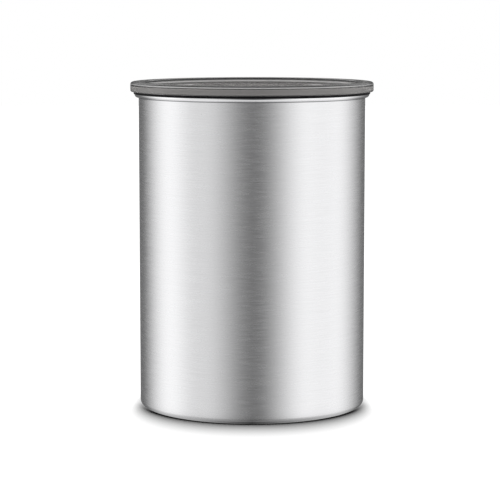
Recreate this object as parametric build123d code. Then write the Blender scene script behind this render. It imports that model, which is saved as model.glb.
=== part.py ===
"""Vacuum seal canister: a drawn steel cup, a clear outer lid and a plunging inner lid.

The origin is the centre of the foot, +Z is up and every length is in millimetres.
The inner lid stands part of the way down the cup, with its bail folded and its valve shut.
"""
import math
import os

from build123d import *

# Canister body: one deep-drawn steel cup, its mouth rolled outwards into a bead.
body_radius = 56.0
body_height = 156.4
body_wall = 0.8
foot_round = 2.5
foot_width = 4.5
base_rise = 3.0
base_slope = 2.4
base_round = 1.4
rim_curl = 1.4
rim_crevice = 0.2

mouth_radius = body_radius - body_wall
rim_radius = mouth_radius + 2 * rim_curl
rim_centre = (mouth_radius + rim_curl, body_height - rim_curl)
canister_floor = base_rise + body_wall

# Outer lid seal: a soft ring round the lid's plug, hollowed below to straddle the bead.
seal_web = 0.8
seal_lap = 1.15
seal_clearance = 0.2
seal_overhang = 0.45
seal_fit = 0.05
seal_ledge = 0.85

seal_radius = rim_radius + seal_overhang
seal_top = body_height + seal_web

# Outer lid: a clear moulding that sits on the bead, with a plug that centres it in the mouth.
lid_wall = 1.6
lid_rise = 4.0
lid_edge_round = 1.2
lip_wall = 2.0
lip_round = 0.8
recess_depth = 2.4
skirt_wall = 1.6
skirt_round = 1.55
skirt_drop = 0.8
plug_gap = 0.6
plug_wall = 1.6
plug_depth = 5.0
plug_round = 0.6
lid_ring_radius = 30.0
lid_ring_pitch = 6.0
lid_ring_width = 1.4
lid_ring_height = 0.5
lid_ring_count = 4

skirt_inside = seal_radius + seal_fit
lid_radius = skirt_inside + skirt_wall
lid_bottom = seal_top - skirt_drop
lid_top = seal_top + lid_rise
plug_radius = mouth_radius - plug_gap
plug_bottom = body_height - plug_depth
recess_floor = lid_top - recess_depth
recess_ceiling = recess_floor - lid_wall
recess_radius = plug_radius - lip_wall

# Inner lid's valve, across: each ring of pieces is sized from the one that it surrounds.
seat_radius = 6.6
seat_edge = 0.8
seat_ledge = 0.6
seat_bush_wall = 3.4
seat_flange_width = 3.6
seat_ring_section = 0.7
chamber_ring_section = 0.6
chamber_gap = 0.9
chamber_wall = 2.0
cage_hole_step = 1.1
cage_rest = 3.2
cage_fit = 0.1
cage_collar_wall = 1.3
disc_lap = 1.4
stem_flange_lap = 0.2
stem_radius = 3.0
stem_fit = 0.05
stem_neck = 2.0
stem_button = 3.2
stem_spigot = 2.0
guide_wall = 1.4
spring_wire = 0.35
spring_room = 0.8
vent_radius = 1.5
vent_margin = 0.55
vent_count = 8

seat_opening = seat_radius - seat_edge / 2 - seat_ledge
seat_bore_radius = seat_opening + seat_bush_wall
seat_flange_radius = seat_bore_radius + seat_flange_width
seat_ring_circle = (seat_bore_radius + seat_flange_radius) / 2
chamber_radius = seat_flange_radius + chamber_gap
chamber_ring_circle = chamber_radius + chamber_wall / 2
cage_hole_radius = chamber_radius - cage_hole_step
cage_radius = cage_hole_radius + cage_rest
disc_radius = seat_radius + disc_lap
stem_flange_radius = disc_radius + stem_flange_lap
guide_radius = stem_radius + stem_fit
spring_radius = guide_radius + guide_wall + spring_room + spring_wire
vent_circle = spring_radius + spring_wire + vent_margin + vent_radius

# Bail, across: one bent steel wire whose two ends run in the ears and carry the cams.
wire_radius = 2.0
pivot_fit = 0.05
ear_wall = 1.75
ear_thickness = 4.2
ear_gap = 0.6
ear_margin = 1.6
bail_heel = 5.0
bail_corner = 15.0
bail_finger_room = 11.8
cam_wall = 0.9
cam_stem_gap = 0.5
cam_width = 4.2
cam_ear_gap = 0.2
cam_nose_round = 1.2
lifter_lap = 0.3

ear_x = cage_radius + ear_gap
ear_radius = wire_radius + pivot_fit + ear_wall
bail_half_width = ear_x + ear_thickness + ear_margin + bail_heel
cam_radius = wire_radius + cam_wall
cam_inner_x = stem_radius + cam_stem_gap
cam_hub_length = ear_x - cam_ear_gap - cam_inner_x
lifter_radius = cam_inner_x + cam_width + lifter_lap

# Inner lid, across: a moulded dish and a base that clamp the gasket between them.
flange_gap = 1.8
flange_lip = 1.4
flange_round = 0.8
shell_wall = 2.2
well_round = 2.0
base_setback = 0.4
spigot_wall = 2.2
spigot_fit = 0.1
gasket_bulge = 0.5
wiper_clearance = 0.2
wiper_inset = 0.4
screw_inset = 4.9
screw_pad_radius = 4.6
screw_boss_radius = 3.6
screw_count = 4
base_rib_radius = 30.0
base_rib_width = 1.6

flange_radius = mouth_radius - flange_gap
skirt_radius = flange_radius - flange_lip
well_radius = skirt_radius - shell_wall
spigot_radius = well_radius - spigot_fit
gasket_radius = skirt_radius + gasket_bulge
wiper_radius = mouth_radius - wiper_clearance
screw_circle = spigot_radius - spigot_wall - screw_pad_radius - screw_inset
bail_reach = well_radius - bail_finger_room

# Heights of the bail, the cams and the well, down from the outer lid.
bail_headroom = 1.0
pivot_drop = 3.5
flange_thickness = 2.2
cam_cage_gap = 1.2
cage_roof = 1.4
cage_collar_depth = 4.0
guide_depth = 3.0
valve_lift = 2.0
lifter_gap = 0.1
lifter_thickness = 2.4
lifter_round = 1.0
spigot_sink = 0.4

pivot_z = recess_ceiling - bail_headroom - wire_radius - bail_reach
inner_top = pivot_z + pivot_drop
well_floor = pivot_z - cam_radius - cam_cage_gap - cage_roof
well_underside = well_floor - shell_wall
lifter_bottom = pivot_z + cam_radius + lifter_gap

# Heights of the valve, from the cage's roof down to the base.
spring_height = 8.05
stem_flange_thickness = 1.4
disc_thickness = 1.5
stem_button_height = 0.8
seat_gap = 0.05
seat_edge_height = 0.6
seat_flange_thickness = 1.4
seat_drop = 1.0

spring_foot = well_floor - spring_height
disc_top = spring_foot - stem_flange_thickness
disc_bottom = disc_top - disc_thickness
seat_top = disc_bottom - seat_gap
base_top = seat_top - seat_edge_height - seat_flange_thickness

# Heights of the gasket, the base and its screws.
gasket_height = 4.0
wiper_thickness = 1.0
wiper_tip = 0.8
wiper_lift = 1.8
base_thickness = 2.2
spigot_height = 6.0
base_rib_height = 2.0
ring_fit = 0.05
screw_pad_height = 2.0
screw_radius = 1.25
screw_fit = 0.05
screw_end_gap = 0.8
screw_tip_gap = 1.0
screw_head_radius = 2.8
screw_head_height = 1.8
screw_head_round = 0.5
screw_slot = 0.8
head_sink = 2.4
head_gap = 0.3

shell_bottom = base_top + gasket_height
base_bottom = base_top - base_thickness
screw_pad_top = base_top + screw_pad_height
pilot_top = well_underside - screw_end_gap

# Valve screen and its snap ring, below the seat in the same bore.
screen_thickness = 0.5
screen_fit = 0.05
screen_hole = 1.2
screen_pitch = 3.4
screen_field = 7.0
snap_ring_width = 1.4
snap_ring_gap = 5.0

# The valve spring's turns, and the arcs that make each one.
spring_turns = 3.0
arcs_per_turn = 2

# How far a cutting shape runs past the surface that it cuts.
overrun = 1.0


def outline(*points):
    """A closed outline on a half section: radius first, then height."""
    return make_face(Polyline(*points, close=True))


def bar(low_radius, high_radius, low, high):
    """A rectangle on the half section, between two radii and two heights."""
    return outline((low_radius, low), (high_radius, low), (high_radius, high), (low_radius, high))


def rounded(section, radius, *places):
    """The section with the corners nearest the given places rounded."""
    corners = [section.vertices().sort_by_distance((*place, 0))[0] for place in places]
    return fillet(corners, radius)


def turned(section):
    """The solid that the half section sweeps round the upright axis."""
    return revolve(Plane.XZ * section, Axis.Z)


def upright(radius, low, high):
    """A cylinder about the upright axis, between two heights."""
    return Pos(0, 0, low) * Cylinder(radius, high - low, align=(Align.CENTER, Align.CENTER, Align.MIN))


def make_canister_body():
    """A cup of one wall thickness, standing on a ring, with a rolled bead round its mouth."""
    curl_radius, curl_z = rim_centre
    foot_inside = body_radius - foot_round - foot_width
    panel_radius = foot_inside - base_slope
    outside = outline(
        (-foot_width, base_rise), (panel_radius, base_rise), (foot_inside, 0),
        (body_radius, 0), (body_radius, curl_z), (-foot_width, curl_z),
    )
    outside = rounded(outside, foot_round, (body_radius, 0))
    outside = rounded(outside, base_round, (foot_inside, 0), (panel_radius, base_rise))
    inside = offset(outside, -body_wall) + bar(0, mouth_radius, curl_z / 2, curl_z)
    sheet = outside - inside - bar(-2 * foot_width, 0, 0, curl_z)
    bead = Circle(rim_curl) - Circle(rim_curl - body_wall)
    crevice = bar(body_radius, body_radius + rim_crevice, curl_z - 2 * rim_curl, curl_z)
    return turned(sheet + (Pos(curl_radius, curl_z) * bead - crevice))


def make_outer_lid():
    """A cap with a raised lip, a ringed recess and a plug below it."""
    channel_top = lid_top - lid_wall
    ledge_radius = seal_radius - seal_ledge
    plug_inside = plug_radius - plug_wall
    section = outline(
        (0, recess_ceiling), (plug_inside, recess_ceiling), (plug_inside, plug_bottom),
        (plug_radius, plug_bottom), (plug_radius, channel_top), (ledge_radius, channel_top),
        (ledge_radius, seal_top), (skirt_inside, seal_top), (skirt_inside, lid_bottom),
        (lid_radius, lid_bottom), (lid_radius, lid_top), (recess_radius, lid_top),
        (recess_radius, recess_floor), (0, recess_floor),
    )
    section = rounded(section, skirt_round, (lid_radius, lid_bottom))
    section = rounded(section, lid_edge_round, (lid_radius, lid_top))
    section = rounded(section, lip_round, (recess_radius, lid_top), (recess_radius, recess_floor))
    section = rounded(section, plug_round, (plug_radius, plug_bottom), (plug_inside, plug_bottom))
    for index in range(lid_ring_count):
        middle = lid_ring_radius - index * lid_ring_pitch
        inner, outer = middle - lid_ring_width / 2, middle + lid_ring_width / 2
        section += bar(inner, outer, recess_floor, recess_floor + lid_ring_height)
    return turned(section)


def make_outer_lid_seal():
    """A ring hollowed below so that it straddles the bead."""
    ring = bar(plug_radius + seal_fit, seal_radius, body_height - seal_lap, seal_top)
    return turned(ring - Pos(*rim_centre) * Circle(rim_curl + seal_clearance))


def make_ear(start):
    """One upright ear with its bore for the bail, its near face at the given distance."""
    height = pivot_z - well_floor
    block = Pos(0, -height / 2) * Rectangle(2 * ear_radius, height)
    face = Circle(ear_radius) + block - Circle(wire_radius + pivot_fit)
    return extrude(Plane.YZ.offset(start) * Pos(0, pivot_z) * face, ear_thickness)


def screw_places():
    """The screw circle, turned so that no screw stands under an ear."""
    return PolarLocations(screw_circle, screw_count, start_angle=180 / screw_count)


def make_inner_lid_shell():
    """A flanged dish with a valve chamber below, two ears above and four screw bosses."""
    section = outline(
        (cage_hole_radius, well_floor), (well_radius, well_floor), (well_radius, inner_top),
        (flange_radius, inner_top), (flange_radius, inner_top - flange_thickness),
        (skirt_radius, inner_top - flange_thickness), (skirt_radius, shell_bottom),
        (well_radius, shell_bottom), (well_radius, well_underside),
        (chamber_radius + chamber_wall, well_underside), (chamber_radius + chamber_wall, base_top),
        (chamber_radius, base_top), (chamber_radius, well_underside),
        (cage_hole_radius, well_underside),
    )
    section = rounded(section, well_round, (well_radius, well_floor))
    section = rounded(section, flange_round, (well_radius, inner_top), (flange_radius, inner_top))
    shell = turned(section)
    shell += make_ear(ear_x) + make_ear(-ear_x - ear_thickness)
    boss = upright(screw_boss_radius, screw_pad_top, well_underside)
    pilot = upright(screw_radius + screw_fit, screw_pad_top, pilot_top)
    return shell + screw_places() * (boss - pilot)


def make_inner_lid_gasket():
    """A hub with one wiper raked upwards and one raked downwards."""
    middle = shell_bottom - gasket_height / 2
    root = gasket_radius - wiper_inset
    hub = bar(spigot_radius + spigot_fit, gasket_radius, base_top, shell_bottom)
    near, far = wiper_inset, wiper_inset + wiper_thickness
    reach = far + wiper_lift
    upper = outline(
        (root, middle + near), (wiper_radius, middle + reach - wiper_tip),
        (wiper_radius, middle + reach), (root, middle + far),
    )
    lower = outline(
        (root, middle - near), (wiper_radius, middle - reach + wiper_tip),
        (wiper_radius, middle - reach), (root, middle - far),
    )
    return turned(hub + upper + lower)


def make_inner_lid_base():
    """A plate with a spigot for the gasket, a stiffening rib and the valve's bore."""
    plate = bar(seat_bore_radius, skirt_radius - base_setback, base_bottom, base_top)
    plate += bar(spigot_radius - spigot_wall, spigot_radius, base_top, base_top + spigot_height)
    plate += bar(
        base_rib_radius - base_rib_width / 2, base_rib_radius + base_rib_width / 2,
        base_top, base_top + base_rib_height,
    )
    for circle, section in ((seat_ring_circle, seat_ring_section), (chamber_ring_circle, chamber_ring_section)):
        reach = section + ring_fit
        plate -= bar(circle - reach, circle + reach, base_top - 2 * section - ring_fit, base_top)
    base = turned(plate)
    pad = upright(screw_pad_radius, base_top, screw_pad_top)
    sink = upright(screw_head_radius + head_gap, base_bottom - overrun, base_bottom + head_sink)
    passage = upright(screw_radius + screw_fit, base_bottom, screw_pad_top + overrun)
    return base + screw_places() * pad - screw_places() * (sink + passage)


def make_base_screws():
    """Four slotted pan-head screws, standing head down."""
    shoulder = base_bottom + head_sink
    head_bottom = shoulder - screw_head_height
    tip = pilot_top - screw_tip_gap
    section = bar(0, screw_head_radius, head_bottom, shoulder) + bar(0, screw_radius, shoulder, tip)
    section = rounded(section, screw_head_round, (screw_head_radius, head_bottom))
    slot = Box(2 * screw_head_radius, screw_slot, 2 * screw_slot)
    screw = turned(section) - Pos(0, 0, head_bottom) * slot
    return Compound(screw_places() * screw)


def make_o_ring(circle, section):
    """A round ring lying in its groove in the base."""
    return turned(Pos(circle, base_top - section - ring_fit / 2) * Circle(section))


def make_valve_seat():
    """A flanged bush with the raised edge that the disc shuts on."""
    seat_foot = base_top - seat_drop
    flange_top = base_top + seat_flange_thickness
    section = bar(seat_opening, seat_bore_radius, seat_foot, base_top)
    section += bar(seat_opening, seat_flange_radius, base_top, flange_top)
    section += bar(seat_radius - seat_edge / 2, seat_radius + seat_edge / 2, flange_top, seat_top)
    return turned(section)


def make_valve_screen():
    """A thin disc with a field of round holes on a triangular grid."""
    top = base_top - seat_drop
    face = Circle(seat_bore_radius - screen_fit)
    grid = HexLocations(screen_pitch / 2, 9, 9, major_radius=False)
    places = [place for place in grid if place.position.length <= screen_field]
    face -= places * Circle(screen_hole)
    return extrude(Pos(0, 0, top - screen_thickness) * face, screen_thickness)


def make_screen_ring():
    """A flat snap ring, open at one side, that holds the screen in the bore."""
    top = base_top - seat_drop - screen_thickness
    radius = seat_bore_radius - screen_fit
    ring = Circle(radius) - Circle(radius - snap_ring_width)
    ring -= Pos(radius, 0) * Rectangle(2 * snap_ring_width + overrun, snap_ring_gap)
    return extrude(Pos(0, 0, base_bottom) * ring, top - base_bottom)


def make_valve_stem():
    """A stem with the disc's flange and button below, and the lifter's spigot on top."""
    button_top = disc_bottom
    section = bar(0, stem_button, button_top - stem_button_height, button_top)
    section += bar(0, stem_neck, button_top, disc_top)
    section += bar(0, stem_flange_radius, disc_top, spring_foot)
    section += bar(0, stem_radius, spring_foot, lifter_bottom)
    section += bar(0, stem_spigot, lifter_bottom, lifter_bottom + lifter_thickness - spigot_sink)
    return turned(section)


def make_valve_disc():
    """A soft washer that shuts on the seat's edge."""
    return turned(bar(stem_neck, disc_radius, disc_bottom, disc_top))


def make_valve_lifter():
    """A round cap whose flat underside rides on both cams."""
    top = lifter_bottom + lifter_thickness
    section = bar(stem_spigot, lifter_radius, lifter_bottom, top)
    return turned(rounded(section, lifter_round, (lifter_radius, top)))


def make_valve_cage():
    """A vented cap with a collar that plugs the well's hole and a guide for the stem."""
    roof_top = well_floor + cage_roof
    collar_radius = cage_hole_radius - cage_fit
    section = bar(guide_radius, cage_radius, well_floor, roof_top)
    section += bar(guide_radius, guide_radius + guide_wall, well_floor - guide_depth, well_floor)
    section += bar(
        collar_radius - cage_collar_wall, collar_radius,
        well_floor - cage_collar_depth, well_floor,
    )
    vent = upright(vent_radius, well_floor - overrun, roof_top + overrun)
    return turned(section) - PolarLocations(vent_circle, vent_count) * vent


def spring_point(turn, pitch):
    """A point on the spring's centre line, and the way that the wire runs there."""
    angle = math.tau * turn
    start = spring_foot + spring_wire
    place = Vector(spring_radius * math.cos(angle), spring_radius * math.sin(angle), start + pitch * turn)
    along = Vector(-spring_radius * math.sin(angle), spring_radius * math.cos(angle), pitch / math.tau)
    return place, along.normalized()


def arc_by_tangent(start, corner, end):
    """The arc from start to end that is tangent to the lines through the corner."""
    chord_middle = (start + end) / 2
    lean = (corner - start).normalized().dot((end - start).normalized())
    return ThreePointArc(start, chord_middle + (corner - chord_middle) * (lean / (1 + lean)), end)


def biarc(start, along, end, onward):
    """Two tangent arcs that join two points with their directions."""
    span = end - start
    both = along + onward
    square = both.dot(both) - 4
    middle = span.dot(both)
    reach = (middle - math.sqrt(middle * middle - square * span.dot(span))) / square
    first, second = start + along * reach, end - onward * reach
    joint = (first + second) / 2
    return [arc_by_tangent(start, first, joint), arc_by_tangent(joint, second, end)]


def make_valve_spring():
    """One unbroken wire, wound in steady turns from the stem's flange to the cage's roof."""
    pitch = (well_floor - spring_foot - 2 * spring_wire) / spring_turns
    steps = round(spring_turns * arcs_per_turn)
    stations = [spring_point(step / arcs_per_turn, pitch) for step in range(steps + 1)]
    arcs = []
    for (start, along), (end, onward) in zip(stations, stations[1:]):
        arcs += biarc(start, along, end, onward)
    path = Wire([arc.edge() for arc in arcs])
    start, along = stations[0]
    section = Plane(origin=start, z_dir=along) * Circle(spring_wire)
    spring = sweep(section, path=path)
    print("spring: volume over wire length times section",
          round(spring.volume / (path.length * math.pi * spring_wire ** 2), 4))
    print("spring: least gap between turns", round(pitch - 2 * spring_wire, 3))
    return spring


def make_handle_bail():
    """A wire bent to a broad loop, its heels turned in along the pivot line."""
    end = cam_inner_x
    route = FilletPolyline(
        (end, 0, pivot_z), (bail_half_width, 0, pivot_z),
        (bail_half_width, bail_reach, pivot_z), (-bail_half_width, bail_reach, pivot_z),
        (-bail_half_width, 0, pivot_z), (-end, 0, pivot_z),
        radius=[bail_heel, bail_corner, bail_corner, bail_heel],
    )
    return sweep(Plane(origin=(end, 0, pivot_z), z_dir=(1, 0, 0)) * Circle(wire_radius), path=route)


def cam_point(turn):
    """A point of the cam's flank, where the flank's outward normal is at that turn from level.

    The flank's reach along that normal falls steadily from the nose to the base circle,
    so a flat face resting on it rises by the same amount for each degree of the bail.
    """
    rate = valve_lift / (math.pi / 2)
    reach = cam_radius + valve_lift - rate * turn
    return (
        reach * math.cos(turn) + rate * math.sin(turn),
        reach * math.sin(turn) - rate * math.cos(turn),
    )


def make_valve_cam(side):
    """A cam on a hub bored for the wire's end, its nose towards the folded bail."""
    quarter = math.pi / 2
    flank = [cam_point(quarter * share / 6) for share in range(7)]
    nose = cam_radius + valve_lift
    edges = [ThreePointArc(*flank[index:index + 3]) for index in (0, 2, 4)]
    edges.append(Line(flank[-1], (0, cam_radius)))
    edges.append(ThreePointArc((0, cam_radius), (-cam_radius, 0), (0, -cam_radius)))
    edges.append(Line((0, -cam_radius), (nose, -cam_radius)))
    edges.append(Line((nose, -cam_radius), flank[0]))
    face = make_face(edges)
    face = rounded(face, cam_nose_round, (nose, -cam_radius)) - Circle(wire_radius)
    hub = Circle(cam_radius) - Circle(wire_radius)
    inner_face = Plane.YZ.offset(side * cam_inner_x) * Pos(0, pivot_z)
    return extrude(inner_face * face, side * cam_width) + extrude(inner_face * hub, side * cam_hub_length)


pieces = {
    "canister_body": make_canister_body(),
    "outer_lid": make_outer_lid(),
    "outer_lid_seal": make_outer_lid_seal(),
    "inner_lid_shell": make_inner_lid_shell(),
    "inner_lid_gasket": make_inner_lid_gasket(),
    "inner_lid_base": make_inner_lid_base(),
    "base_screws": make_base_screws(),
    "chamber_o_ring": make_o_ring(chamber_ring_circle, chamber_ring_section),
    "seat_o_ring": make_o_ring(seat_ring_circle, seat_ring_section),
    "valve_seat": make_valve_seat(),
    "valve_screen": make_valve_screen(),
    "screen_snap_ring": make_screen_ring(),
    "valve_cage": make_valve_cage(),
    "valve_spring": make_valve_spring(),
    "valve_stem": make_valve_stem(),
    "valve_disc": make_valve_disc(),
    "valve_lifter": make_valve_lifter(),
    "handle_bail": make_handle_bail(),
    "valve_cam_left": make_valve_cam(-1),
    "valve_cam_right": make_valve_cam(1),
}

os.makedirs("parts", exist_ok=True)
for name, piece in pieces.items():
    export_step(piece, f"parts/{name}.step")

travel = base_bottom - canister_floor
print("inner lid: from its underside to the canister's floor", round(travel, 2))
print("pivot height", round(pivot_z, 3), "inner lid top", round(inner_top, 3))
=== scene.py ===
"""Vacuum seal canister: a brushed steel cup, a smoked clear lid and the plunging inner lid inside.

Every length is in metres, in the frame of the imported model.
"""
import math

import bpy
import numpy as np
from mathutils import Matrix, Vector


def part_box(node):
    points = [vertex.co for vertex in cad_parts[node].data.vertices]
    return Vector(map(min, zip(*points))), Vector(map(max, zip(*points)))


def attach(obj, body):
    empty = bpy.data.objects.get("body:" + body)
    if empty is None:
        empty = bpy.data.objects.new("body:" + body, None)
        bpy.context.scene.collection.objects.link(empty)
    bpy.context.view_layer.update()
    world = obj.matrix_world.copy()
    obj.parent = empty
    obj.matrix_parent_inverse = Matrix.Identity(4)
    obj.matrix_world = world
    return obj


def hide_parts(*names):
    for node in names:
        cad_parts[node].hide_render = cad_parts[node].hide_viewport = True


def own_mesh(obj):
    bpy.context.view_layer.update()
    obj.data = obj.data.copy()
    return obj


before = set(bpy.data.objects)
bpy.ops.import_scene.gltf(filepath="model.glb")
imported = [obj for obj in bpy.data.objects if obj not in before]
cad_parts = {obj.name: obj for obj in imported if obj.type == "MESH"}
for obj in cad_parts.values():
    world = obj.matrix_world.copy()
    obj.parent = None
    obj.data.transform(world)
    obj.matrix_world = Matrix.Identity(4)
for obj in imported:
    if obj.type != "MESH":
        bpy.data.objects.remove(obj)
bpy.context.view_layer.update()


# Canister body. One deep-drawn stainless cup: a raised base inside a foot ring, straight
# sides brushed round and round, and a mouth rolled outwards into a hollow bead.
_, body_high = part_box("canister_body")
sheet = 0.0008
curl = 0.0014
crevice = 0.0002
foot_round = 0.0025
foot_flat = 0.0045
base_rise = 0.003
base_slope = 0.0024
base_round = 0.0014

rim_radius = body_high.x
rim_z = body_high.z - curl
mouth = rim_radius - 2 * curl
wall = mouth + sheet
foot_inside = wall - foot_round - foot_flat
base_edge = foot_inside - base_slope
curl_middle = (mouth + curl, rim_z)

# How finely the turned shapes are drawn.
around = 360
corner_steps = 6
foot_steps = 10
curl_inside_steps = 28
curl_outside_steps = 40
shading_edge = 0.00015
shading_share = 0.03
longest_share = 0.46
straight_sine = 0.9999
same_place = 1e-8
on_axis = 1e-7


def arc(centre, radius, start, end, steps):
    """Points on a circle in the half section, from one angle to another in degrees.

    Each point is the centre plus the radius times (cosine, sine) of the angle.
    """
    angle = np.radians(np.linspace(start, end, steps))
    return np.column_stack([
        centre[0] + radius * np.cos(angle), centre[1] + radius * np.sin(angle),
    ])


def line(start, end):
    """A straight run of the half section, with a point a little way in from each end.

    The points beside the ends keep the shading of the round next to it off the flat.
    """
    start, end = np.array(start, float), np.array(end, float)
    inward = (end - start) / np.linalg.norm(end - start) * shading_edge
    return np.array([start, start + inward, end - inward, end])


def eased(corners, steps=corner_steps):
    """A closed outline with its corners rounded. A corner is a radius, a height and a rounding.

    Each corner becomes an arc tangent to both its sides. The arc starts and ends at the
    rounding times the cotangent of half the corner's angle from the corner, or nearer on a
    short side, and a point beside each end keeps its shading off the flat.
    """
    corners = np.array(corners, float)
    points = corners[:, :2]
    befores, afters = np.roll(points, 1, axis=0), np.roll(points, -1, axis=0)
    run = []
    for before, corner, after, rounding in zip(befores, points, afters, corners[:, 2]):
        back, ahead = before - corner, after - corner
        back_length, ahead_length = np.linalg.norm(back), np.linalg.norm(ahead)
        back, ahead = back / back_length, ahead / ahead_length
        half = math.acos(np.clip(back @ ahead, -1, 1)) / 2
        if rounding <= 0 or math.sin(half) > straight_sine:
            run.append(corner[None])
            continue
        longest = longest_share * min(back_length, ahead_length)
        reach = min(rounding / math.tan(half), longest)
        size = reach * math.tan(half)
        middle = corner + (back + ahead) / np.linalg.norm(back + ahead) * size / math.sin(half)
        first, last = corner + back * reach - middle, corner + ahead * reach - middle
        start, end = math.atan2(first[1], first[0]), math.atan2(last[1], last[0])
        turn = (end - start + math.pi) % math.tau - math.pi
        angle = start + turn * np.linspace(0, 1, steps)
        beside_back = min(shading_edge, shading_share * back_length)
        beside_ahead = min(shading_edge, shading_share * ahead_length)
        run.append((corner + back * (reach + beside_back))[None])
        run.append(middle + size * np.column_stack([np.cos(angle), np.sin(angle)]))
        run.append((corner + ahead * (reach + beside_ahead))[None])
    return np.vstack(run)


def spun(section, segments=around):
    """Places and faces of a closed half section turned round the upright axis.

    A point at radius r and height z goes to (r cos a, r sin a, z) for each angle a. The
    section runs with the solid on its left, and a point on the axis becomes one pole.
    """
    angle = np.linspace(0, math.tau, segments, endpoint=False)
    apart = np.linalg.norm(section - np.roll(section, 1, axis=0), axis=1) > same_place
    radius, height = section[apart].T
    off_axis = radius > on_axis
    places = np.stack([
        np.outer(radius, np.cos(angle)), np.outer(radius, np.sin(angle)),
        np.outer(height, np.ones(segments)),
    ], axis=-1)
    kept = off_axis[:, None] | (np.arange(segments) == 0)
    first = np.cumsum(kept.sum(axis=1)) - kept.sum(axis=1)
    here = first[:, None] + np.outer(off_axis, np.arange(segments))
    there = np.roll(here, -1, axis=0)
    quads = np.stack([
        here, np.roll(here, -1, axis=1), np.roll(there, -1, axis=1), there,
    ], axis=-1)
    off_next = np.roll(off_axis, -1)
    faces = quads[off_axis & off_next].reshape(-1, 4).tolist()
    faces += quads[off_axis & ~off_next][..., [0, 1, 2]].reshape(-1, 3).tolist()
    faces += quads[~off_axis & off_next][..., [0, 2, 3]].reshape(-1, 3).tolist()
    return places[kept], faces


def show(name, shape, body, finish, node):
    """Makes a piece from its places and faces, and seats it in the frame for a CAD node."""
    places, faces = shape
    mesh = bpy.data.meshes.new(name)
    mesh.from_pydata(places.tolist(), [], faces)
    mesh.polygons.foreach_set("use_smooth", np.ones(len(mesh.polygons), dtype=bool))
    mesh.update()
    mesh.materials.append(finish)
    piece = bpy.data.objects.new(name, mesh)
    bpy.context.collection.objects.link(piece)
    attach(piece, body)
    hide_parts(node)


class Flow:
    """A value or colour on its way through a material. Sums on it add Math nodes."""

    def __init__(self, finish, socket):
        self.finish, self.socket = finish, socket

    def maths(self, operation, *values):
        return self.finish.node("Math", {"operation": operation}, *values)

    def __add__(self, other):
        return self.maths("ADD", self, other)

    def __sub__(self, other):
        return self.maths("SUBTRACT", self, other)

    def __rsub__(self, other):
        return self.maths("SUBTRACT", other, self)

    def __mul__(self, other):
        return self.maths("MULTIPLY", self, other)

    def __truediv__(self, other):
        return self.maths("DIVIDE", self, other)

    __radd__, __rmul__ = __add__, __mul__

    def above_zero(self):
        return self.maths("MAXIMUM", self, 0.0)

    def between(self, low, high):
        """0 below one value, 1 above the other, and a smooth step from one to the other."""
        smooth = {"interpolation_type": "SMOOTHSTEP"}
        return self.finish.node("MapRange", smooth, self, low, high, 0.0, 1.0)


class Finish:
    """A material, built node by node round its own shader."""

    def __init__(self, name, **constants):
        self.material = bpy.data.materials.new(name)
        self.material.use_nodes = True
        self.tree = self.material.node_tree
        self.shader = self.tree.nodes["Principled BSDF"]
        for label, value in constants.items():
            self.shader.inputs[label.replace("_", " ")].default_value = value

    def node(self, kind, settings=None, *values, output=0, **named):
        """Adds a node, sets its settings, then gives its inputs values or links."""
        made = self.tree.nodes.new("ShaderNode" + kind)
        for label, value in (settings or {}).items():
            setattr(made, label, value)
        for key, value in [*enumerate(values), *named.items()]:
            socket = made.inputs[key.replace("_", " ") if isinstance(key, str) else key]
            if isinstance(value, Flow):
                self.tree.links.new(value.socket, socket)
            else:
                socket.default_value = value
        return Flow(self, made.outputs[output])

    def feed(self, label, flow):
        """Links a flow to one of the shader's own sockets."""
        self.tree.links.new(flow.socket, self.shader.inputs[label])

    def end(self, label, flow):
        """Links a flow to the material's surface or volume, in place of the shader."""
        self.tree.links.new(flow.socket, self.tree.nodes["Material Output"].inputs[label])

    def place(self, scale=(1, 1, 1)):
        """The piece's own coordinates, stretched by a scale along each axis."""
        own = self.node("TexCoord", output="Object")
        return self.node("VectorMath", {"operation": "MULTIPLY"}, own, scale)

    def split(self, place):
        """The three parts of a place, each as a value."""
        parts = self.node("SeparateXYZ", None, place)
        return [Flow(self, socket) for socket in parts.socket.node.outputs]

    def length(self, across, along):
        """The square root of the sum of two squares."""
        return self.node("Math", {"operation": "SQRT"}, across * across + along * along)

    def noise(self, place, detail=2.0, roughness=0.5):
        return self.node("TexNoise", None, place, Scale=1.0, Detail=detail, Roughness=roughness)

    def tint(self, factor, low, high):
        """A colour between two colours."""
        ends = [end if isinstance(end, Flow) else (*end, 1) for end in (low, high)]
        made = self.node("Mix", {"data_type": "RGBA"}, Factor=factor, output="Result")
        for label, end in zip(("A", "B"), ends):
            socket = next(
                each for each in made.socket.node.inputs
                if each.name == label and each.type == "RGBA"
            )
            if isinstance(end, Flow):
                self.tree.links.new(end.socket, socket)
            else:
                socket.default_value = end
        return made

    def bump(self, height, distance):
        bumped = self.node("Bump", None, Strength=1.0, Distance=distance, Height=height)
        self.feed("Normal", bumped)


mark_share = 0.6
streak_low, streak_high = 0.3, 0.7
mark_depth = 0.000004


def brushed_steel(name, along, across, light, dark, sheen_low, sheen_high, deep=0.0):
    """Stainless steel with brush marks that run round the axis, its colour and its roughness.

    Noise stretched round the piece and squeezed along its height gives the marks, and a
    coarser one the deeper strokes, which are duller by up to half of the deep value.
    """
    steel = Finish(name, Metallic=1.0, IOR=2.5)
    marks = steel.noise(steel.place((along, along, across)), detail=3.0, roughness=0.6)
    strokes = steel.noise(steel.place((along * 2, along * 2, across / 2)), detail=2.0)
    streak = marks * mark_share + strokes * (1 - mark_share)
    colour = steel.tint(streak.between(streak_low, streak_high), dark, light)
    sheen = streak * (sheen_high - sheen_low) + sheen_low + (strokes - 0.5) * deep
    steel.bump(marks, mark_depth)
    return steel, colour, sheen


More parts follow.
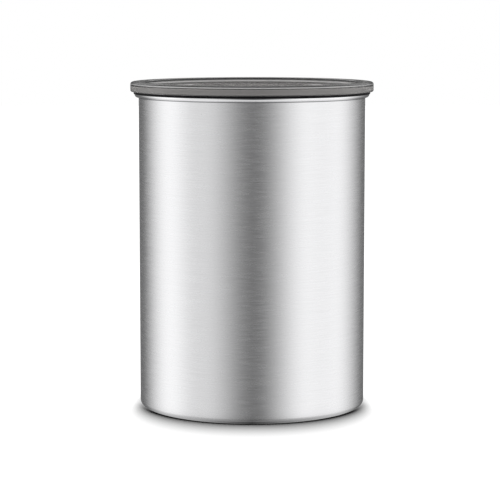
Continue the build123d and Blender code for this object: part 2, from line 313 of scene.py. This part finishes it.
# The rolled bead is smoother than the sides; painted shade darkens the steel under it.
bead_tint = (0.90, 0.90, 0.91)
bead_smoothing = 0.5
bead_blur_below = 0.0001
bead_blur_above = 0.0003
crevice_shade_tint = (0.26, 0.26, 0.27)
crevice_shade_below = 0.0005
crevice_shade_above = 0.0003

body_steel, body_colour, body_sheen = brushed_steel(
    "brushed_steel", along=55, across=3200, light=(0.86, 0.86, 0.87), dark=(0.81, 0.81, 0.82),
    sheen_low=0.2, sheen_high=0.3, deep=0.12,
)
_, _, body_height = body_steel.split(body_steel.place())
bead_low = rim_z - curl
rolled = body_height.between(bead_low - bead_blur_below, bead_low + bead_blur_above)
# Painted shade: a thin band just under the bead, darkened in colour where the crevice lies in
# shade.
painted_crevice_shade = body_height.between(bead_low - crevice_shade_below, bead_low - crevice_shade_below / 2)
painted_crevice_shade = painted_crevice_shade * (1 - body_height.between(bead_low, bead_low + crevice_shade_above))
bead_colour = body_steel.tint(rolled, body_colour, bead_tint)
body_steel.feed("Base Color", body_steel.tint(painted_crevice_shade, bead_colour, crevice_shade_tint))
body_steel.feed("Roughness", body_sheen * (1 - rolled * bead_smoothing))

under_side = eased([
    (0, base_rise, 0),
    (base_edge, base_rise, base_round),
    (foot_inside, 0, base_round),
    (wall, 0, foot_round),
    (wall, rim_z, 0),
], foot_steps)
inside = eased([
    (0, base_rise + sheet, 0),
    (base_edge + sheet / 2, base_rise + sheet, base_round),
    (foot_inside + sheet / 2, sheet, base_round - sheet / 2),
    (mouth, sheet, foot_round - sheet),
    (mouth, rim_z, 0),
], foot_steps)
tip = wall + crevice
tip_inner = math.degrees(math.acos((tip - curl_middle[0]) / (curl - sheet)))
tip_outer = math.degrees(math.acos((tip - curl_middle[0]) / curl))
body_section = np.vstack([
    under_side[:-1], line((wall, foot_round), (wall, rim_z))[1:],
    arc(curl_middle, curl - sheet, 180, -tip_inner, curl_inside_steps),
    arc(curl_middle, curl, -tip_outer, 180, curl_outside_steps),
    line((mouth, rim_z), (mouth, foot_round))[1:],
    inside[::-1][1:],
])
show(
    "drawn_steel_cup", spun(body_section), "canister", body_steel.material,
    "canister_body",
)


# Outer lid seal. A black silicone ring stretched round the lid's plug, hollow below where it
# straddles the bead, so that a thin black edge shows between the skirt and the steel.
seal_low, seal_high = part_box("outer_lid_seal")
seal_inset = 0.00055
seal_round = 0.00012
seal_clear = 0.0002
hollow_steps = 24
silicone_grain = 900
silicone_depth = 0.00002

silicone = Finish(
    "black_silicone", Base_Color=(0.008, 0.008, 0.009, 1), Roughness=0.65,
    Specular_IOR_Level=0.15,
)
silicone_skin = silicone.noise(silicone.place((silicone_grain,) * 3), detail=4.0)
silicone.bump(silicone_skin, silicone_depth)

seal_inner = mouth - seal_inset
hollow = curl + seal_clear
hollow_end = math.degrees(math.asin((seal_low.z - rim_z) / hollow))
hollow_half = hollow * math.cos(math.radians(hollow_end))
seal_section = np.vstack([
    arc(curl_middle, hollow, 180 - hollow_end, hollow_end, hollow_steps),
    eased([
        (curl_middle[0] + hollow_half, seal_low.z, 0),
        (seal_high.x, seal_low.z, seal_round),
        (seal_high.x, seal_high.z, seal_round),
        (seal_inner, seal_high.z, seal_round),
        (seal_inner, seal_low.z, seal_round),
        (curl_middle[0] - hollow_half, seal_low.z, 0),
    ])[1:-1],
])
show(
    "rim_seal", spun(seal_section), "lid", silicone.material,
    "outer_lid_seal",
)


# Outer lid. One clear moulding with a grey smoke tint, polished all over: a flat lip round a
# shallow recess with raised rings, a skirt tucked in under the lip, and the plug below. Its
# upright walls look clouded, with painted shade in dark lines along the edges and painted
# highlights in light lines between them.
lid_low, lid_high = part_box("outer_lid")
lid_wall = 0.0016
lip_wall = 0.002
recess_depth = 0.0024
skirt_wall = 0.0016
skirt_drop = 0.0008
plug_inset = 0.0006
plug_wall = 0.0016
ledge = 0.00085
ring_radius = 0.030
ring_pitch = 0.006
ring_width = 0.0014
ring_height = 0.0005
ring_count = 4
rib_radius = 0.023
rib_depth = 0.0007

# Roundings of the lid's corners.
fine_round = 0.0002
ledge_round = 0.0001
inner_round = 0.0004
plug_round = 0.0006
skirt_round = 0.00155
lip_round = 0.0012
recess_round = 0.0008

lid_radius = lid_high.x
lid_top = lid_high.z
skirt_inside = lid_radius - skirt_wall
skirt_low = seal_high.z - skirt_drop
plug = mouth - plug_inset
plug_inside = plug - plug_wall
recess = plug - lip_wall
floor_top = lid_top - recess_depth
ceiling = floor_top - lid_wall
channel_top = lid_top - lid_wall
ledge_radius = seal_high.x - ledge

# The smoke, and how far the clouding reaches from the recess's wall, the skirt and the top.
smoke_colour = (0.2, 0.17, 0.15, 1)
smoke_density = 22.0
lid_gloss = {"Roughness": 0.0, "IOR": 1.49}
wall_cloud = 0.38
panel_cloud = 0.12
smoke_tint = (0.90, 0.88, 0.87)
cloud_tint = (0.47, 0.46, 0.45)
# Colours of the painted shade lines and the painted highlight lines on the lid.
edge_shade_tint = (0.02, 0.02, 0.02)
painted_highlight_tint = (0.95, 0.95, 0.95)
circle_core = 0.4
recess_start, recess_full, recess_wane, recess_end = 0.0008, 0.0002, 0.0006, 0.0012
skirt_start, skirt_full = 0.0004, 0.0001
top_start, top_full = 0.0005, 0.0001

smoke = Finish("smoked_plastic", **lid_gloss, Transmission_Weight=1.0)
lid_x, lid_y, lid_z = smoke.split(smoke.place())
lid_r = smoke.length(lid_x, lid_y)


def near_circles(circles):
    """1 on level circles round the axis, and 0 away from them.

    Each circle has a radius, a height and a spread, the distance at which it has faded out.
    It is full up to the core's share of that distance.
    """
    near = 0.0
    for radius, height, spread in circles:
        off = smoke.length(lid_r - radius, lid_z - height)
        near = (1 - off.between(spread * circle_core, spread)) + near
    return near


# Painted shade in dark lines: the second ring, the rib below, the recess's foot and top, the lip
# and the skirt.
painted_edge_shade = near_circles((
    (ring_radius - ring_pitch, floor_top + ring_height, 0.0009),
    (rib_radius, ceiling - rib_depth, 0.0009),
    (recess, floor_top, 0.0006),
    (recess + 0.0001, lid_top - 0.0005, 0.0007),
    (lid_radius - 0.00045, lid_top - 0.0003, 0.0009),
    (lid_radius, lid_top - 0.0015, 0.0003),
    (lid_radius - 0.0014, skirt_low, 0.0017),
))
# Painted highlights in light lines: half way up the recess's wall, and below the lip's round.
painted_highlight = near_circles((
    (recess, lid_top - 0.0015, 0.0005),
    (lid_radius - 0.0001, lid_top - 0.00095, 0.00035),
))
# The painted shade and painted highlights go into the clouded share's colour, and the shade also
# into the clear share's tint.
cloud_with_painted_light = smoke.tint(painted_highlight, smoke.tint(painted_edge_shade, cloud_tint, edge_shade_tint), painted_highlight_tint)
cloud = smoke.node("BsdfPrincipled", None, **lid_gloss, Base_Color=cloud_with_painted_light)
smoke.feed("Base Color", smoke.tint(painted_edge_shade, smoke_tint, edge_shade_tint))

at_recess = lid_r.between(recess - recess_start, recess - recess_full)
at_recess = at_recess * (1 - lid_r.between(recess + recess_wane, recess + recess_end))
at_skirt = lid_r.between(skirt_inside - skirt_start, skirt_inside - skirt_full)
off_top = 1 - lid_z.between(lid_top - top_start, lid_top - top_full)
clouded = (at_recess + at_skirt) * off_top * wall_cloud + panel_cloud
clear = Flow(smoke, smoke.shader.outputs["BSDF"])
smoke.end("Surface", smoke.node("MixShader", None, clouded, clear, cloud))
smoke.end("Volume", smoke.node("VolumeAbsorption", None, smoke_colour, smoke_density))

lid_corners = [
    (0, ceiling, 0),
    (rib_radius - ring_width / 2, ceiling, fine_round),
    (rib_radius - ring_width / 2, ceiling - rib_depth, fine_round),
    (rib_radius + ring_width / 2, ceiling - rib_depth, fine_round),
    (rib_radius + ring_width / 2, ceiling, fine_round),
    (plug_inside, ceiling, inner_round),
    (plug_inside, lid_low.z, plug_round),
    (plug, lid_low.z, plug_round),
    (plug, channel_top, inner_round),
    (ledge_radius, channel_top, inner_round),
    (ledge_radius, seal_high.z, ledge_round),
    (skirt_inside, seal_high.z, ledge_round),
    (skirt_inside, skirt_low, fine_round),
    (lid_radius, skirt_low, skirt_round),
    (lid_radius, lid_top, lip_round),
    (recess, lid_top, recess_round),
    (recess, floor_top, recess_round),
]
for index in range(ring_count):
    middle = ring_radius - index * ring_pitch
    lid_corners += [
        (middle + ring_width / 2, floor_top, fine_round),
        (middle + ring_width / 2, floor_top + ring_height, fine_round),
        (middle - ring_width / 2, floor_top + ring_height, fine_round),
        (middle - ring_width / 2, floor_top, fine_round),
    ]
lid_corners.append((0, floor_top, 0))
show(
    "smoked_lid", spun(eased(lid_corners)), "lid", smoke.material,
    "outer_lid",
)


# Inner lid shell and base. Black nylon mouldings with a fine spark-eroded grain, held together
# by four screws. The shell is a dish with a well for the bail, and the base closes it below.
cloud_scale = 90
cloud_low, cloud_high = 0.35, 0.65
shade_share = 0.85
grain_sheen = 0.12
cloud_sheen = 0.08
grain_depth = 0.00001


def moulded(name, colour, grain=2500, sheen=0.42):
    """A moulded plastic with a fine grain and a slight cloudiness in its colour and sheen.

    The sheen is about the mean roughness, which both noises move up and down.
    """
    plastic = Finish(name, Base_Color=(*colour, 1), IOR=1.5)
    fine = plastic.noise(plastic.place((grain,) * 3), detail=3.0)
    clouds = plastic.noise(plastic.place((cloud_scale,) * 3), detail=2.0)
    shade = [part * shade_share for part in colour]
    plastic.feed("Base Color", plastic.tint(clouds.between(cloud_low, cloud_high), shade, colour))
    lowest = sheen - (grain_sheen + cloud_sheen) / 2
    plastic.feed("Roughness", fine * grain_sheen + clouds * cloud_sheen + lowest)
    plastic.bump(fine, grain_depth)
    return plastic.material


def dress(finish, *names):
    """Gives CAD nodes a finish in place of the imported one."""
    for name in names:
        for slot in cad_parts[name].material_slots:
            slot.material = finish


black_nylon = moulded("black_nylon", (0.025, 0.025, 0.027))
dress(black_nylon, "inner_lid_shell", "inner_lid_base")


# Valve cage and lifter. Grey nylon mouldings: the vented cap that sits in the well's floor and
# guides the stem, and the round cap on the stem's top, which the cams raise.
grey_nylon = moulded("grey_nylon", (0.20, 0.20, 0.21))
dress(grey_nylon, "valve_cage", "valve_lifter")


# Valve seat, stem and cams. Natural acetal, which slides without grease. The seat is pressed
# into the base, the stem runs in the cage, and the cams are pressed on the bail's ends.
acetal = moulded("natural_acetal", (0.72, 0.71, 0.68), sheen=0.35)
dress(acetal, "valve_seat", "valve_stem", "valve_cam_left", "valve_cam_right")


# Gasket and valve disc. Grey silicone mouldings: the ring with two wipers clamped between the
# shell and the base, and the washer stretched over the stem's button, which shuts on the seat.
grey_silicone = moulded("grey_silicone", (0.16, 0.16, 0.165), grain=900, sheen=0.6)
dress(grey_silicone, "inner_lid_gasket", "valve_disc")


# Chamber and seat rings. Two black silicone O-rings in grooves, which seal the valve chamber
# and the seat against the base.
dress(silicone.material, "chamber_o_ring", "seat_o_ring")


# Bail, screws, screen and snap ring. Bright stainless steel: the bent wire handle that runs in
# the shell's ears, the four screws, and the pierced disc that its ring holds below the seat.
wire_steel, wire_colour, wire_sheen = brushed_steel(
    "bright_steel", along=900, across=900, light=(0.80, 0.80, 0.81), dark=(0.74, 0.74, 0.75),
    sheen_low=0.1, sheen_high=0.2,
)
wire_steel.feed("Base Color", wire_colour)
wire_steel.feed("Roughness", wire_sheen)
bright_steel = wire_steel.material
dress(bright_steel, "handle_bail", "base_screws", "valve_screen", "screen_snap_ring")


# Valve spring. Stainless wire of 0.7 mm wound in three turns. Its top end bears on the cage's
# roof and its foot on the stem's flange, so it shortens by the valve's lift.
dress(bright_steel, "valve_spring")
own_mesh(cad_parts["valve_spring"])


# Floor. A plain white sheet that shows white to the camera through its own glow. Its contact
# shadow is painted shade: ambient occlusion darkens the glow and the colour, short at the sides
# where the side lamps reach, and longest towards the camera.
floor_size = 6.0
floor_sides = 64
floor_white = 0.2
floor_dark = 0.02
shade_front = 0.0265
shade_side = 0.0045
shade_turn = 1.9
shade_start, shade_full = -0.4, 0.5
tail_stretch = 2.0
tail_share = 0.35


def stage_piece(name, places, faces, finish):
    """A piece of the studio, with its own material."""
    mesh = bpy.data.meshes.new(name)
    mesh.from_pydata(places.tolist(), [], faces)
    mesh.materials.append(finish)
    piece = bpy.data.objects.new(name, mesh)
    bpy.context.collection.objects.link(piece)
    return piece


def flat(radius, segments):
    """A level disc facing up: a fan from the centre to points at (r cos a, r sin a)."""
    angle = np.linspace(0, math.tau, segments, endpoint=False)
    ring = np.column_stack([radius * np.cos(angle), radius * np.sin(angle), np.zeros(segments)])
    step = np.arange(segments)
    fan = np.column_stack([step, np.roll(step, -1), np.full(segments, segments)])
    return np.vstack([ring, np.zeros((1, 3))]), fan.tolist()


floor_finish = Finish(
    "floor_white", Roughness=0.9, Specular_IOR_Level=0.0, Emission_Color=(1, 1, 1, 1),
)
floor_x, floor_y, _ = floor_finish.split(floor_finish.place())
frontness = (floor_y / floor_finish.length(floor_x, floor_y) * -1).above_zero()
shade_reach = floor_finish.node("Math", {"operation": "POWER"}, frontness, shade_turn)
shade_reach = shade_reach * shade_front + shade_side
depth = frontness.between(shade_start, shade_full)
# Painted shadow: two ambient occlusion reaches darken the floor, a near one and a longer faint
# tail.
shade = 1.0
for stretch, share in ((1.0, 1 - tail_share), (tail_stretch, tail_share)):
    sky = floor_finish.node("AmbientOcclusion", None, Distance=shade_reach * stretch, output="AO")
    shade = shade - (1 - (sky * 2 - 1).above_zero()) * depth * share
seen = floor_finish.node("LightPath", output="Is Camera Ray")
floor_finish.feed(
    "Base Color", floor_finish.tint(shade, (floor_dark,) * 3, (floor_white,) * 3),
)
floor_finish.feed("Emission Strength", seen * shade)
floor = stage_piece("floor", *flat(floor_size / 2, floor_sides), floor_finish.material)
floor.visible_glossy = False


# Contact filter. The steel mirrors the studio through the floor, so a disc round the foot that
# only mirrors see darkens what it shows there, as the floor's own shadow would.
contact_dark = 0.05
contact_side = 0.80
contact_reach = 0.020
contact_under = 0.004
contact_wane = 0.006
contact_sides = 96

contact_finish = Finish("contact_filter", Base_Color=(0, 0, 0, 1), Roughness=1.0)
contact_x, contact_y, _ = contact_finish.split(contact_finish.place())
contact_r = contact_finish.length(contact_x, contact_y)
aside = contact_finish.node("Math", {"operation": "ABSOLUTE"}, contact_x / contact_r)
unshaded = contact_r.between(wall - contact_under - aside * contact_wane, wall + contact_reach)
shaded = contact_finish.tint(aside, (contact_dark,) * 3, (contact_side,) * 3)
veil = contact_finish.tint(unshaded, shaded, (1, 1, 1))
contact_finish.end("Surface", contact_finish.node("BsdfTransparent", None, veil))
contact = stage_piece(
    "contact_filter", *flat(wall + contact_reach, contact_sides), contact_finish.material,
)
contact.visible_camera = False
contact.visible_diffuse = False
contact.visible_transmission = False
contact.visible_shadow = False


# Studio surround. A round tent of lit panels and dark flags, far out, that the steel mirrors:
# two bright panels on each side, with dark cloth towards the camera and behind.
tent_radius = 4.0
tent_middle = 0.08
tent_rows, tent_columns = 48, 96
flag_level = 0.15
panels = (
    {"rise": -120, "rise_blur": 28, "fall": -70, "fall_blur": 18, "level": 1.01},
    {"rise": -68, "rise_blur": 18, "fall": -23, "fall_blur": 27, "level": 0.66},
    {"rise": 29, "rise_blur": 28, "fall": 80, "fall_blur": 20, "level": 0.94},
    {"rise": 82, "rise_blur": 20, "fall": 122, "fall_blur": 32, "level": 1.0},
)
ceiling_level = 0.95
ceiling_start = 7
ceiling_full = 24
table_level = 0.85
table_start = -22
table_full = -42
hollow_level = 0.35
hollow_start = -62
hollow_full = -85

# Bearings and climbs are in degrees, from the camera's side and from level.
tent_finish = Finish(
    "studio_panels", Base_Color=(0, 0, 0, 1), Roughness=1.0, Specular_IOR_Level=0.0,
)
east, north, up = tent_finish.split(tent_finish.place())
climb = tent_finish.node("Math", {"operation": "ARCSINE"}, (up - tent_middle) / tent_radius)
climb = climb * math.degrees(1)
bearing = tent_finish.node("Math", {"operation": "ARCTAN2"}, east, north * -1.0)
bearing = bearing * math.degrees(1)
glow = flag_level
for panel in panels:
    rise = bearing.between(panel["rise"] - panel["rise_blur"], panel["rise"] + panel["rise_blur"])
    fall = bearing.between(panel["fall"] - panel["fall_blur"], panel["fall"] + panel["fall_blur"])
    glow = rise * (1 - fall) * panel["level"] + glow
overhead = climb.between(ceiling_start, ceiling_full)
below = 1 - climb.between(table_full, table_start)
deepest = 1 - climb.between(hollow_full, hollow_start)
glow = glow * (1 - overhead) + overhead * ceiling_level
glow = glow * (1 - below) + below * table_level
glow = glow * (1 - deepest) + deepest * hollow_level
tent_finish.end("Surface", tent_finish.node("Emission", None, (1, 1, 1, 1), glow))

# The tent is a ball round its middle, r cos u out and r sin u up for each latitude u.
latitude = np.linspace(-math.pi / 2, math.pi / 2, tent_rows)
tent_section = np.column_stack([
    tent_radius * np.cos(latitude), tent_middle + tent_radius * np.sin(latitude),
])
tent_section[[0, -1], 0] = 0
tent = stage_piece("studio_tent", *spun(tent_section, tent_columns), tent_finish.material)
tent.visible_camera = False
tent.visible_diffuse = False
tent.visible_transmission = False
tent.visible_shadow = False


# World. White to the camera, to mirrors and through clear plastic, and a soft even light on
# everything else.
soft_level = 0.7

world = bpy.data.worlds.new("studio")
bpy.context.scene.world = world
world.use_nodes = True
world.cycles.sampling_method = "NONE"
tree = world.node_tree
background = tree.nodes["Background"]
path = tree.nodes.new("ShaderNodeLightPath")
seen_by = path.outputs["Is Camera Ray"]
for label in ("Is Glossy Ray", "Is Transmission Ray"):
    either = tree.nodes.new("ShaderNodeMath")
    either.operation = "MAXIMUM"
    tree.links.new(seen_by, either.inputs[0])
    tree.links.new(path.outputs[label], either.inputs[1])
    seen_by = either.outputs[0]
strength = tree.nodes.new("ShaderNodeMapRange")
strength.inputs["To Min"].default_value = soft_level
tree.links.new(seen_by, strength.inputs["Value"])
tree.links.new(strength.outputs["Result"], background.inputs["Strength"])
background.inputs["Color"].default_value = (1, 1, 1, 1)


# Lamps. Two soft boxes at the sides and one overhead.
def softbox(name, place, size, power):
    """A square area lamp aimed at the canister's middle."""
    light = bpy.data.lights.new(name, "AREA")
    light.size, light.energy = size, power
    lamp = bpy.data.objects.new(name, light)
    bpy.context.collection.objects.link(lamp)
    lamp.location = place
    aim = Vector((0, 0, tent_middle)) - Vector(place)
    lamp.rotation_euler = aim.to_track_quat("-Z", "Y").to_euler()
    lamp.visible_glossy = False
    lamp.visible_transmission = False


softbox("left_softbox", (-1.3, -0.5, 0.7), 1.0, 4.0)
softbox("right_softbox", (1.3, -0.6, 0.7), 1.0, 4.0)
softbox("overhead_softbox", (0, 0.32, 1.45), 0.25, 9.0)


# Camera. A long lens a little above the lid, tipped down at the canister's middle.
camera_distance = 1.003
camera_height = 0.1993
camera_tilt = 6.941
axis_offset = 0.00097
lens = 145.6
sensor = 36.0

camera_data = bpy.data.cameras.new("camera")
camera_data.lens, camera_data.sensor_width = lens, sensor
camera = bpy.data.objects.new("camera", camera_data)
bpy.context.collection.objects.link(camera)
camera.location = (-axis_offset, -camera_distance, camera_height)
camera.rotation_euler = (math.radians(90 - camera_tilt), 0, 0)
bpy.context.scene.camera = camera

bpy.context.scene.view_settings.view_transform = "Standard"
